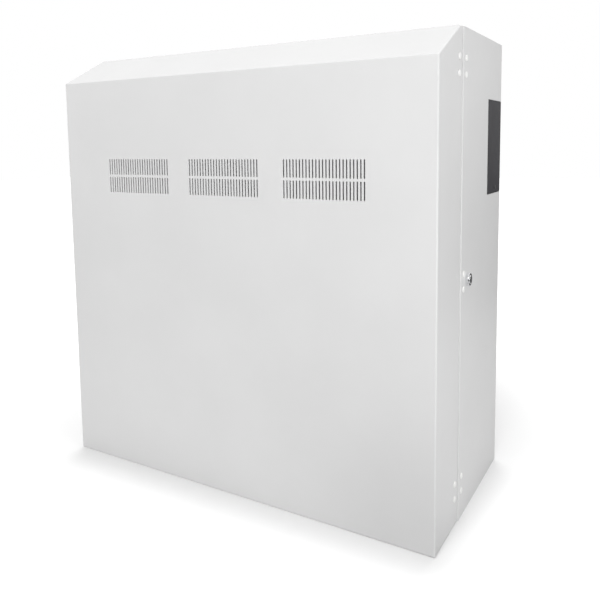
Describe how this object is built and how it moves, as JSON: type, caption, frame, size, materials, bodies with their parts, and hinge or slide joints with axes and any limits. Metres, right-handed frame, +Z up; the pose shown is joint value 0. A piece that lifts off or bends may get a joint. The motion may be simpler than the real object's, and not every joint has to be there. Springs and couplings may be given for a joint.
{
  "type": "battery cabinet",
  "caption": "Slim wall cabinet for rack-mounted batteries: folded sheet body, deep hinged cover with a sloped top edge and vent slots, side cam lock, cable covers and rails inside.",
  "frame": {"origin": "centre of the base, on the surface that the body stands on; the hinge knuckles on -X and the lock on +X stand out by 6.9 and 5.0 mm, so it is the middle of the sheet-metal box", "axes": "+Z up; -Y is the front, the way the cover faces and opens; +Y is the wall side; +X is the right side with the lock, -X the hinge side"},
  "size_m": [0.6119, 0.284, 0.63],
  "materials": {
    "powder_coat": "fine matt powder coat, light grey",
    "plug_plastic": "smooth white moulded plastic",
    "dark_cover": "dark grey powder coat with a fine matt grain",
    "black_screw": "black coated steel, half matt",
    "lock_chrome": "polished chrome plate",
    "zinc_steel": "zinc plated sheet, dull",
    "screw_steel": "bright zinc plated"
  },
  "bodies": {
    "cabinet": {"back_panel": "powder_coat", "bottom_panel": "powder_coat", "cage_nuts": "screw_steel", "cover_nuts": "screw_steel", "cover_screws": "black_screw", "cover_tabs": "powder_coat", "earth_nut_body": "screw_steel", "earth_stud_body": "screw_steel", "earth_washer_body": "screw_steel", "hinge_leaves_body": "zinc_steel", "hinge_nuts_body": "screw_steel", "hinge_pins": "screw_steel", "hinge_screws_body": "screw_steel", "left_cable_cover": "dark_cover", "left_rail": "zinc_steel", "left_side_panel": "powder_coat", "lock_housing": "lock_chrome", "lock_nut": "screw_steel", "nut_cages": "zinc_steel", "plugs_body": "plug_plastic", "rail_brackets": "powder_coat", "rail_nuts": "screw_steel", "rail_screws": "screw_steel", "right_cable_cover": "dark_cover", "right_rail": "zinc_steel", "right_side_panel": "powder_coat", "top_panel": "powder_coat"},
    "cover": {"door_skin": "powder_coat", "door_stiffeners": "powder_coat", "catch_bracket": "powder_coat", "hinge_leaves_door": "zinc_steel", "hinge_screws_door": "screw_steel", "hinge_nuts_door": "screw_steel", "plugs_door": "plug_plastic", "earth_stud_door": "screw_steel", "earth_washer_door": "screw_steel", "earth_nut_door": "screw_steel"},
    "lock": {"lock_plug": "lock_chrome", "lock_cam": "zinc_steel", "lock_cam_screw": "screw_steel"}
  },
  "joints": [
    {"name": "cover_hinge", "type": "hinge", "parent": "cabinet", "child": "cover", "pos_m": [-0.3036, -0.054, 0.315], "axis": [0, 0, -1], "range_deg": [0, 180]},
    {"name": "lock_turn", "type": "hinge", "parent": "cabinet", "child": "lock", "pos_m": [0.278, -0.025, 0.315], "axis": [-1, 0, 0], "range_deg": [0, 90]}
  ]
}
